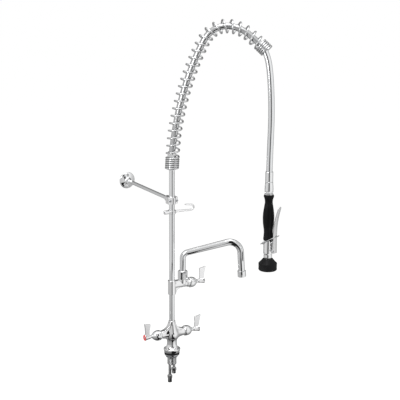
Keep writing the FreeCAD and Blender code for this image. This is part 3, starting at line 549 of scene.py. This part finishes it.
def skin_faces(count, sides):
    """Faces over rings of points that follow each other, with both ends closed."""
    faces = []
    for i in range(count - 1):
        a = i * sides
        for j in range(sides):
            k = (j + 1) % sides
            faces.append((a + j, a + k, a + sides + k, a + sides + j))
    faces.append(tuple(range(sides - 1, -1, -1)))
    faces.append(tuple((count - 1) * sides + j for j in range(sides)))
    return faces


def tube_points(line, radii, sides):
    """Rings of points round a line: radii holds one radius for each ring and side."""
    tangents, across, upright = frames_along(line)
    angles = np.linspace(0, 2 * math.pi, sides, endpoint=False)[None, :, None]
    ring = across[:, None, :] * np.cos(angles) + upright[:, None, :] * np.sin(angles)
    return (line[:, None, :] + ring * radii[:, :, None]).reshape(-1, 3)


HOSE_R = 9.5 * MM
HOSE_SIDES = 32
GROOVE_PITCH = 3.3 * MM
GROOVE_DEPTH = 0.06 * MM
GROOVE_SHARE = 0.14


def jacketed_hose(name, line, stations, material):
    """The wound jacket: full in the middle of each strip, with a narrow groove where two strips hook."""
    turn = np.linspace(0, 1, HOSE_SIDES, endpoint=False)
    phase = stations[:, None] / GROOVE_PITCH - turn[None, :]
    gap = np.abs(phase - np.round(phase))
    radii = HOSE_R - GROOVE_DEPTH * np.exp(-(gap / GROOVE_SHARE) ** 2)
    points = tube_points(line, radii, HOSE_SIDES)
    return new_piece(name, points, skin_faces(len(line), HOSE_SIDES), material)


lower_hose = jacketed_hose("hose_hanging", lower_line, lower_at, hose_jacket)
# The hose inside the spring wears the darker jacket, which is painted shade from the coils.
upper_hose = jacketed_hose("hose_in_spring", upper_line, upper_at, shaded_jacket)
print("hoses:", len(lower_hose.data.polygons), "and", len(upper_hose.data.polygons), "faces")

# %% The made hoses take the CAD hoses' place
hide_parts("lower_hose")
in_arm(296, -32.5, 830)
in_arm(294, -32, 600)
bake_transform(lower_hose)
in_arm(*LOWER_ROUTE[0])
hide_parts("upper_hose")
BEND_LOW = in_arm(0, 0, 640)
BEND_HIGH = in_arm(0, 0, 880)
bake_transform(upper_hose)

# %% [markdown]
# The spring follows a rule, so a node tree makes it. For each point along the wire the tree works out which
# turn it is on, how far along the hose that turn lies, and where round the hose it stands. Turns at both
# ends lie close together and the turns between are spread out. One list of points becomes a curve, and a
# small circle is swept along it. The same tree later winds the shank's thread, with a four-sided wire.


# %% How a tree begins and ends
def begun_tree(name, inputs):
    """A node tree with these named inputs, each a kind of socket and its usual value, and one output."""
    tree = bpy.data.node_groups.new(name, "GeometryNodeTree")
    for title, kind, value in inputs:
        socket = tree.interface.new_socket(title, in_out="INPUT", socket_type="NodeSocket" + kind)
        if value is not None:
            socket.default_value = value
    tree.interface.new_socket("Shape", in_out="OUTPUT", socket_type="NodeSocketGeometry")
    return Maker(tree)


def end_tree(maker, shape, finish):
    """Makes the shape real geometry, shaded smooth, with its finish on it."""
    real = maker.add("GeometryNodeRealizeInstances", None, {"Geometry": shape})
    smooth = maker.add("GeometryNodeSetShadeSmooth", None, {"Geometry": real, "Shade Smooth": True})
    painted = maker.add("GeometryNodeSetMaterial", None, {"Geometry": smooth, "Material": finish})
    result = maker.tree.nodes.new("NodeGroupOutput")
    maker.tree.links.new(painted.socket, result.inputs[0])
    print(maker.tree.name, "tree:", len(maker.tree.nodes), "nodes")
    return maker.tree


# %% The coil tree
def coil_tree():
    maker = begun_tree("coil", [
        ("Route", "Geometry", None), ("Coil radius", "Float", 0.0189), ("Wire radius", "Float", 0.0027),
        ("Close turns at start", "Float", 6.0), ("Open turns", "Float", 25.0),
        ("Close turns at end", "Float", 5.0), ("Close pitch", "Float", 0.0062), ("Margin", "Float", 0.3),
        ("Steps in a turn", "Int", 40), ("Wire sides", "Int", 18), ("Side", "Vector", None),
        ("Finish", "Material", None)])
    given = maker.add("NodeGroupInput")
    start = given.out("Close turns at start")
    opened = given.out("Open turns")
    end = given.out("Close turns at end")
    pitch = given.out("Close pitch")
    margin = given.out("Margin")
    turns = start + opened + end
    route = given.out("Route")
    length = maker.add("GeometryNodeCurveLength", None, [route])
    open_pitch = (length - pitch * (start + end)) / opened
    count = turns * given.out("Steps in a turn") + 1
    index = maker.add("GeometryNodeInputIndex")
    turn = margin + (turns - margin * 2) * index / (count - 1)

    def travelled(at):
        low = at.at_most(start)
        middle = (at - start).at_least(0.0).at_most(opened)
        high = (at - start - opened).at_least(0.0)
        return (low + high) * pitch + open_pitch * middle

    ease = 0.25
    distance = (travelled((turn - ease).at_least(0.0)) + travelled((turn + ease).at_most(turns))) * 0.5
    sample = maker.add("GeometryNodeSampleCurve", {"mode": "LENGTH"}, {"Curves": route, "Length": distance})
    along = sample.out("Tangent")

    def vector(operation, *values):
        return maker.add("ShaderNodeVectorMath", {"operation": operation}, list(values))

    def scaled(value, factor):
        return maker.add("ShaderNodeVectorMath", {"operation": "SCALE"}, {"Vector": value, "Scale": factor})

    side = given.out("Side")
    lean = maker.add("ShaderNodeVectorMath", {"operation": "DOT_PRODUCT"}, [side, along]).out("Value")
    across = vector("NORMALIZE", vector("SUBTRACT", side, scaled(along, lean)))
    inward = vector("CROSS_PRODUCT", across, along)
    angle = turn * (2 * math.pi)
    radius = given.out("Coil radius")
    place = vector("ADD", sample.out("Position"), vector(
        "ADD", scaled(inward, radius * maker.add("ShaderNodeMath", {"operation": "COSINE"}, [angle])),
        scaled(across, radius * maker.add("ShaderNodeMath", {"operation": "SINE"}, [angle]))))
    points = maker.add("GeometryNodeMeshLine", None, {"Count": count})
    placed = maker.add("GeometryNodeSetPosition", None, {"Geometry": points, "Position": place})
    wire = maker.add("GeometryNodeMeshToCurve", None, {"Mesh": placed})
    section = maker.add("GeometryNodeCurvePrimitiveCircle", None, {
        "Resolution": given.out("Wire sides"), "Radius": given.out("Wire radius")})
    swept = maker.add("GeometryNodeCurveToMesh", None, {
        "Curve": wire, "Profile Curve": section, "Fill Caps": True})
    return end_tree(maker, swept, given.out("Finish"))


def grown(name, tree, values, source=None):
    """Runs a tree on a curve, or on an empty mesh, and returns its result as one plain mesh object."""
    if source is None:
        source = bpy.data.objects.new(name + "_seed", bpy.data.meshes.new(name + "_seed"))
        scene.collection.objects.link(source)
    modifier = source.modifiers.new("tree", "NODES")
    modifier.node_group = tree
    for item in tree.interface.items_tree:
        if item.item_type == "SOCKET" and item.in_out == "INPUT" and item.name in values:
            modifier[item.identifier] = values[item.name]
    bpy.context.view_layer.update()
    shaped = source.evaluated_get(bpy.context.evaluated_depsgraph_get())
    mesh = bpy.data.meshes.new_from_object(shaped)
    source.modifiers.remove(modifier)
    obj = bpy.data.objects.new(name, mesh)
    scene.collection.objects.link(obj)
    bpy.data.objects.remove(source)
    print(name + ":", len(mesh.polygons), "faces")
    return obj


coil = coil_tree()

# %% Wind the spring
spring = grown("spring_coil", coil, {"Side": BACK, "Finish": spring_wire}, spring_curve)
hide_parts("spring")
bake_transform(spring)
bpy.data.objects.remove(upper_curve)
bpy.data.objects.remove(lower_curve)

# %% [markdown]
# Castings have no sharp inside corners, because metal doesn't flow into them. The engineering model joins
# its shapes with hard creases, so each casting is remade here: a copy is turned into an even net, and every
# point is drawn a little towards its neighbours, again and again. Creases melt into fillets. Machined faces
# where other pieces seat have to stay flat, so a mask holds the points near them still.


# %% Tools for castings
RELAX_STEP = 0.6


def merged_copy(node):
    mesh = nodes[node].data.copy()
    work = bmesh.new()
    work.from_mesh(mesh)
    bmesh.ops.remove_doubles(work, verts=work.verts, dist=1e-6)
    work.to_mesh(mesh)
    work.free()
    mesh.materials.clear()
    return mesh


def even_net(mesh, size):
    """The mesh as a net of even squares."""
    obj = bpy.data.objects.new("net", mesh)
    scene.collection.objects.link(obj)
    remesh = obj.modifiers.new("net", "REMESH")
    remesh.mode = "VOXEL"
    remesh.voxel_size = size
    bpy.context.view_layer.update()
    result = bpy.data.meshes.new_from_object(obj.evaluated_get(bpy.context.evaluated_depsgraph_get()))
    bpy.data.objects.remove(obj)
    return result


def relax(mesh, rounds, hold):
    """Draws every point towards its neighbours; hold gives each point's freedom, from 0 to 1."""
    count = len(mesh.vertices)
    places = np.empty(count * 3)
    mesh.vertices.foreach_get("co", places)
    places = places.reshape(-1, 3)
    edges = np.empty(len(mesh.edges) * 2, int)
    mesh.edges.foreach_get("vertices", edges)
    a, b = edges.reshape(-1, 2).T
    share = np.bincount(a, minlength=count) + np.bincount(b, minlength=count)
    free = hold(places)[:, None] if hold else 1.0
    for _ in range(rounds):
        sums = [np.bincount(a, places[b, k], count) + np.bincount(b, places[a, k], count) for k in range(3)]
        middle = np.stack(sums, axis=1) / share[:, None]
        places = places + free * RELAX_STEP * (middle - places)
    mesh.vertices.foreach_set("co", places.ravel())
    mesh.update()


def with_web(mesh, outline, thick):
    """The mesh with an upright plate through the riser's axis: its outline (across, up), in millimetres."""
    work = bmesh.new()
    work.from_mesh(mesh)
    rows = [[work.verts.new((x * MM, y * MM, z * MM)) for x, z in outline] for y in (-thick / 2, thick / 2)]
    work.faces.new(rows[0])
    work.faces.new(rows[1][::-1])
    for i in range(len(outline)):
        j = (i + 1) % len(outline)
        work.faces.new((rows[0][j], rows[0][i], rows[1][i], rows[1][j]))
    work.to_mesh(mesh)
    work.free()
    return mesh


def casting(name, node, body, material, size, rounds, hold=None, web=None):
    """A CAD casting with soft creases: size is its net's squares in millimetres, rounds its relaxing."""
    mesh = merged_copy(node)
    if web:
        mesh = with_web(mesh, *web)
    mesh = even_net(mesh, size * MM)
    relax(mesh, rounds, hold)
    mesh.materials.append(material)
    mesh.shade_smooth()
    obj = bpy.data.objects.new(name, mesh)
    scene.collection.objects.link(obj)
    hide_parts(node)
    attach(obj, body)
    print(name + ":", len(mesh.polygons), "faces")
    return obj


def smoothstep(values, low, high):
    t = np.clip((values - low) / (high - low), 0, 1)
    return t * t * (3 - 2 * t)


print("castings: net and relax ready")

# %% Softened castings
# Between the two places of each pair, in metres, a casting's points go from free to held.
BASE_ARM_ENDS, BASE_TOP, BASE_FOOT = (0.032, 0.0385), (0.094, 0.1055), (0.0032, 0.009)
TEE_ARM_END, TEE_TOP, TEE_FOOT = (0.047, 0.055), (0.2325, 0.2365), (0.1942, 0.199)


def base_freedom(places):
    """Free between the arms' ends, the top of the neck and the foot."""
    sideways = 1 - smoothstep(np.abs(places[:, 0]), *BASE_ARM_ENDS)
    return sideways * (1 - smoothstep(places[:, 2], *BASE_TOP)) * smoothstep(places[:, 2], *BASE_FOOT)


def tee_freedom(places):
    sideways = 1 - smoothstep(places[:, 0], *TEE_ARM_END)
    return sideways * (1 - smoothstep(places[:, 2], *TEE_TOP)) * smoothstep(places[:, 2], *TEE_FOOT)


# The web between the arms and the neck, which the relaxing then rounds: (across, up) in millimetres.
UPPER_SWEEP = [(10.0, 102), (12.2, 95), (16.0, 89), (21.5, 84), (28, 80.6), (34, 79.0)]
LOWER_SWEEP = [(34, 54.0), (26, 53.2), (20, 50.4), (15.6, 46)]
sweep = UPPER_SWEEP + LOWER_SWEEP
star = sweep + [(-x, z) for x, z in reversed(sweep)]
WEB_THICK = 17.0
casting("base_casting", "base_body", "base", cast_chrome, 0.65, 34, base_freedom, (star, WEB_THICK))
casting("filler_tee", "tee_body", "base", cast_chrome, 0.6, 22, tee_freedom)
for valve in ("hot", "cold", "filler"):
    casting(valve + "_lever", valve + "_handle", valve + "_handle", handle_metal, 0.5, 5)
casting("clamp_cap", "clamp_front", "base", cast_chrome, 0.4, 5)
casting("clamp_block", "clamp_back", "base", cast_chrome, 0.45, 5)
casting("valve_body", "spray_body", "spray_valve", cast_chrome, 0.6, 4)

# %% [markdown]
# The finger hook on the riser gets thinner towards its tip, as a forged bar does. It's three closed shapes: a
# ring round the riser, a boss for its set screw and a bar along a curve. Turning them into one even net
# joins them, and relaxing the net then leaves a weld-like fillet where they meet.

# %% Finger hook
HOOK_Z = 457.5
HOOK_ROUTE = [(8, 0), (30, 0), (46, -0.6), (70, -2.2), (78, 6), (72, 14.6), (57, 16.6), (44, 18.4)]
HOOK_ROOT_R = 4.1
HOOK_TIP_R = 2.4
HOOK_BAR_SIDES = 20
HOOK_NET = 0.45
# The last share of the bar, over which its end is rounded off, and the share of its radius left there.
HOOK_BLUNT = 0.018
HOOK_END_SHARE = 0.15
# Outlines of (radius, distance): the ring about the riser's axis and the boss about its screw's.
HOOK_RING = [(8.6, -5.5), (11.6, -5.5), (12.3, -4.7), (12.3, 4.7), (11.6, 5.5), (8.6, 5.5)]
HOOK_BOSS = [(2.6, -27), (5.0, -27), (6.0, -26), (6.0, -9.4), (2.6, -9.4)]
# The hook's points go from held to free between these distances from the riser's axis, in metres.
HOOK_BORE = (0.0088, 0.0105)


def lathe_points(profile, sides, axis_x):
    """Rings of a closed outline of (radius, distance) points, turned about +X or +Z, in millimetres."""
    points = []
    for k in range(sides):
        turn = 2 * math.pi * k / sides
        c, s = math.cos(turn), math.sin(turn)
        for radius, along in profile:
            points.append((along, radius * c, radius * s) if axis_x else (radius * c, radius * s, along))
    return np.array(points) * MM


def lathe_faces(steps, sides):
    faces = []
    for k in range(sides):
        a, b = k * steps, (k + 1) % sides * steps
        for i in range(steps):
            j = (i + 1) % steps
            faces.append((a + i, b + i, b + j, a + j))
    return faces


def gathered(parts):
    """One mesh of several closed shapes, each given as points and faces."""
    points, faces, base = [], [], 0
    for some, around in parts:
        points += [tuple(v) for v in some]
        faces += [tuple(base + i for i in f) for f in around]
        base += len(some)
    mesh = bpy.data.meshes.new("parts")
    mesh.from_pydata(points, [], faces)
    work = bmesh.new()
    work.from_mesh(mesh)
    bmesh.ops.recalc_face_normals(work, faces=work.faces)
    work.to_mesh(mesh)
    work.free()
    return mesh


def plain_spline(places):
    """The line of a smooth curve, and how far along it each point is, from 0 to 1."""
    curve = spline_object("line", places)
    line, stations = read_line(curve, 0.8 * MM)
    bpy.data.objects.remove(curve)
    return line, stations / stations[-1]


def finger_hook():
    line, share = plain_spline([Vector((x, 0, HOOK_Z + z)) * MM for x, z in HOOK_ROUTE])
    radii = (HOOK_ROOT_R + (HOOK_TIP_R - HOOK_ROOT_R) * share ** 0.7) * MM
    blunt = np.sqrt(np.clip((1 - share) / HOOK_BLUNT, 0, 1))
    radii = radii * (HOOK_END_SHARE + (1 - HOOK_END_SHARE) * blunt)
    bar = tube_points(line, np.repeat(radii[:, None], HOOK_BAR_SIDES, axis=1), HOOK_BAR_SIDES)
    ring = [(radius, HOOK_Z + z) for radius, z in HOOK_RING]
    boss = lathe_points(HOOK_BOSS, 40, True) + np.array([0, 0, HOOK_Z * MM])
    mesh = even_net(gathered([
        (bar, skin_faces(len(line), HOOK_BAR_SIDES)),
        (lathe_points(ring, 64, False), lathe_faces(len(ring), 64)),
        (boss, lathe_faces(len(HOOK_BOSS), 40))]), HOOK_NET * MM)
    relax(mesh, 10, lambda places: smoothstep(np.hypot(places[:, 0], places[:, 1]), *HOOK_BORE))
    mesh.materials.append(cast_chrome)
    mesh.shade_smooth()
    obj = bpy.data.objects.new("hook_bar", mesh)
    scene.collection.objects.link(obj)
    return obj


hook = finger_hook()
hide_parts("finger_hook")
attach(hook, "base")
print("finger hook:", len(hook.data.polygons), "faces")

# %% [markdown]
# The squeeze lever is pressed from sheet into a channel: a broad smooth back, rolled edges and two short
# sides. One cross-section is drawn as a closed line of points, and a copy of it is set at every station
# along the lever's curve, narrower and shallower towards the tip. Rounded corners matter here, because on
# bright metal each of them catches its own thin highlight.

# %% Squeeze lever
GUN_AT = in_arm(294.0, -32.0, 0.0)
GUN_HEADING = ARM_HEADING + math.radians(-35.0)
GUN_OUT = Vector((math.cos(GUN_HEADING), math.sin(GUN_HEADING), 0))
GUN_SIDE = UP.cross(GUN_OUT)
# The lever's line: distance from the grip's axis, height. Then its widths and depths along it, from 0 to 1.
LEVER_ROUTE = [
    (27.6, 341.5), (27.6, 366), (27.2, 392), (27.6, 418), (31.0, 444), (36.4, 468), (42.4, 487.5)]
LEVER_WIDTHS = [(0.0, 17.0), (0.4, 17.0), (0.93, 15.6), (0.97, 13.4), (0.99, 10.0), (1.0, 6.6)]
LEVER_DEPTHS = [(0.0, 10.4), (0.12, 10.0), (0.3, 7.4), (0.5, 5.4), (0.75, 4.2), (0.95, 3.4), (1.0, 2.6)]
LEVER_SHEET = 1.7
LEVER_CORNER = 2.2
LEVER_LIP = 0.3
CORNER_STEPS = 6
# A corner takes up at most this share of half the width, or of the depth.
CORNER_SHARE = 0.6


def channel_section(width, depth):
    """The outline of a channel: its back faces +x, its sides reach to -x. In millimetres."""
    half = width / 2
    bend = min(LEVER_CORNER, half * CORNER_SHARE, depth * CORNER_SHARE)
    inner = max(bend - LEVER_SHEET, LEVER_LIP)
    outside, inside = [], []
    for step in range(CORNER_STEPS + 1):
        turn = math.pi / 2 * step / CORNER_STEPS
        outside.append((-bend + bend * math.sin(turn), half - bend + bend * math.cos(turn)))
        inside.append((-LEVER_SHEET - inner + inner * math.sin(turn),
                       half - LEVER_SHEET - inner + inner * math.cos(turn)))
    lip = [(-depth, half - LEVER_SHEET + LEVER_LIP), (-depth, half - LEVER_LIP)]
    one = lip + outside
    other = [(x, -y) for x, y in reversed(outside)] + [(x, -y) for x, y in reversed(lip)]
    return one + other + [(x, -y) for x, y in inside] + list(reversed(inside))


def squeeze_lever():
    places = [GUN_AT + (GUN_OUT * x + UP * z) * MM for x, z in LEVER_ROUTE]
    line, share = plain_spline(places)
    tangents = np.gradient(line, axis=0)
    tangents /= np.linalg.norm(tangents, axis=1)[:, None]
    side = np.array(GUN_SIDE)
    points = []
    for place, tangent, at in zip(line, tangents, share):
        outward = np.cross(side, tangent)
        width = float(np.interp(at, *zip(*LEVER_WIDTHS)))
        depth = float(np.interp(at, *zip(*LEVER_DEPTHS)))
        section = channel_section(width, depth)
        points += [place + outward * x * MM + side * y * MM for x, y in section]
    return new_piece("lever_channel", points, skin_faces(len(line), len(section)), handle_metal)


lever = squeeze_lever()
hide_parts("squeeze_lever")
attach(lever, "squeeze_lever")
print("squeeze lever:", len(lever.data.polygons), "faces")

# %% [markdown]
# A thread is a spring with no gaps. So the same node tree that wound the spring winds the shank's thread,
# this time with a four-sided wire whose edge points outwards, along a short straight line. The shank inside
# it is turned down to the root of the thread.

# %% Shank and its thread
THREAD_LOW, THREAD_HIGH = -35.2, -13.4
THREAD_TURNS = 15
THREAD_CREST_R = 14.5
THREAD_HALF = 0.72
SHANK_SIDES = 72
# The shank's outline: radius, height.
SHANK = [(12.2, -36), (13.2, -36), (13.75, -35.2), (13.75, -13), (14.2, -12.6), (14.2, 18), (12.2, 18)]
shank = new_piece(
    "shank_tube", lathe_points(SHANK, SHANK_SIDES, False), lathe_faces(len(SHANK), SHANK_SIDES), spring_wire)
shank.data.set_sharp_from_angle(angle=math.radians(35))
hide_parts("shank")
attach(shank, "base")
thread_line = bpy.data.curves.new("thread_route", "CURVE")
thread_line.dimensions = "3D"
thread_ends = thread_line.splines.new("POLY").points
thread_ends.add(1)
thread_ends[0].co = (0, 0, THREAD_LOW * MM, 1)
thread_ends[1].co = (0, 0, THREAD_HIGH * MM, 1)
thread_route = bpy.data.objects.new("thread_route", thread_line)
scene.collection.objects.link(thread_route)
thread = grown("shank_thread", coil, {
    "Coil radius": (THREAD_CREST_R - THREAD_HALF) * MM, "Wire radius": THREAD_HALF * MM,
    "Close turns at start": 0.0, "Open turns": float(THREAD_TURNS), "Close turns at end": 0.0,
    "Wire sides": 4, "Steps in a turn": 48, "Margin": 0.0, "Side": BACK, "Finish": spring_wire}, thread_route)
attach(thread, "base")

# %% [markdown]
# Fingers need a hold on the collar over the grip. Its knurl is many small upright ribs in a ring, so a second
# node tree makes them: points round a circle, and one rib set on each.

# %% Knurl on the grip's collar
KNURL_Z = 525.8


def knurl_tree():
    maker = begun_tree("knurl", [
        ("Ribs", "Int", 44), ("Radius", "Float", 0.0128), ("Height", "Float", 0.0066),
        ("Rib width", "Float", 0.0009), ("Centre", "Vector", None), ("Finish", "Material", None)])
    given = maker.add("NodeGroupInput")
    circle = maker.add("GeometryNodeMeshCircle", None, {
        "Vertices": given.out("Ribs"), "Radius": given.out("Radius")})
    rib = maker.add("GeometryNodeMeshCylinder", None, {
        "Vertices": 8, "Radius": given.out("Rib width") * 0.5, "Depth": given.out("Height")})
    ribs = maker.add("GeometryNodeInstanceOnPoints", None, {"Points": circle, "Instance": rib})
    moved = maker.add("GeometryNodeTransform", None, {"Geometry": ribs, "Translation": given.out("Centre")})
    return end_tree(maker, moved, given.out("Finish"))


knurl = grown("collar_knurl", knurl_tree(), {"Centre": GUN_AT + UP * KNURL_Z * MM, "Finish": chrome})
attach(knurl, "spray_valve")

# %% [markdown]
# Every other CAD piece keeps its own shape and gets its finish here. A list of name endings is enough, since
# the pieces are named for what they are. Whatever no line names is chrome.

# %% Finishes on the CAD pieces
FINISHES = [
    (tube_chrome, ("riser", "spout_tube", "wall_rod", "tail")),
    (cast_chrome, ("clamp_front", "clamp_back", "finger_hook", "spray_body")),
    (handle_metal, ("tail_fitting", "squeeze_lever")),
    (spring_wire, ("hold_clip",)),
    (zinc, ("under_deck_washer", "lock_nut", "screw", "screws", "plunger", "spray_face", "lever_pin")),
    (seal_rubber, ("deck_seal", "clamp_washer", "spout_seal")),
    (grip_plastic, ("grip",)),
    (bumper_rubber, ("spray_bumper",)),
    (red_ring, ("hot_index",)),
    (blue_ring, ("cold_index",)),
    (grey_ring, ("filler_index", "aerator_insert")),
    (ceramic, ("cartridge",)),
]
for name, node in nodes.items():
    found = [material for material, endings in FINISHES if name.endswith(endings)]
    node.data.materials.clear()
    node.data.materials.append(found[-1] if found else chrome)
print("finished", len(nodes), "CAD pieces")
